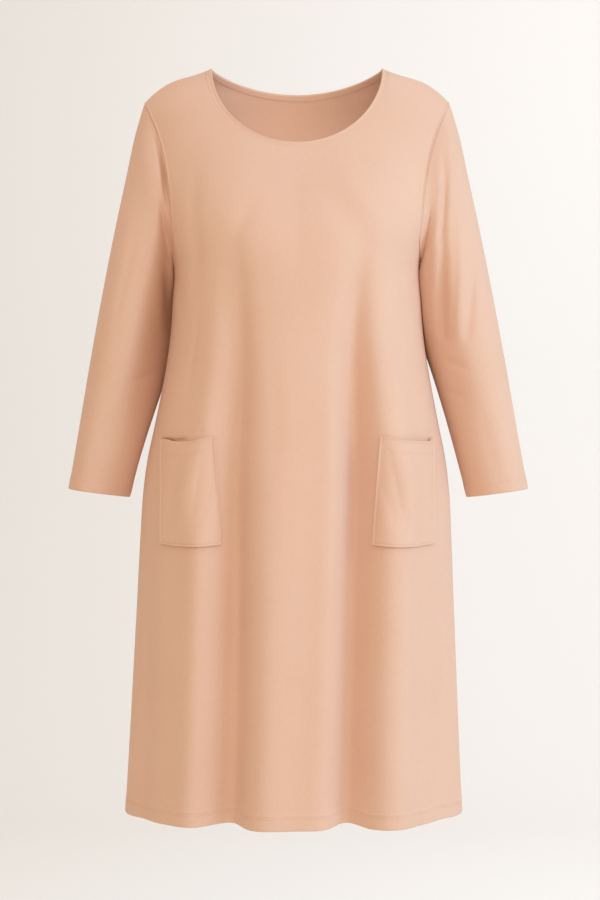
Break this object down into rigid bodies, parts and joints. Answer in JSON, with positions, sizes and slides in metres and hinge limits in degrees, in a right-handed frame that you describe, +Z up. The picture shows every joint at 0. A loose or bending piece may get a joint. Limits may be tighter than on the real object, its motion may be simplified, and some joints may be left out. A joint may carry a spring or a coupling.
{
  "type": "loose dress",
  "caption": "Loose A-line jersey dress, hollow as worn, with a scooped neck, long narrow sleeves and patch pockets.",
  "frame": {"origin": "midway between the two shoulder seams where they meet the neck opening, where the wearer's shoulders hold the dress up", "axes": "+Z up along the dress, +X towards the wearer's left sleeve, -Y out of the front"},
  "size_m": [0.6415, 0.3614, 1.0341],
  "materials": {
    "jersey": "fine matt jersey knit, peach",
    "binding": "folded strip of the same jersey"
  },
  "bodies": {
    "root": {"front": "jersey", "back": "jersey", "sleeve_left": "jersey", "sleeve_right": "jersey", "neck_binding": "binding", "pocket_left": "jersey", "pocket_right": "jersey"}
  },
  "joints": []
}
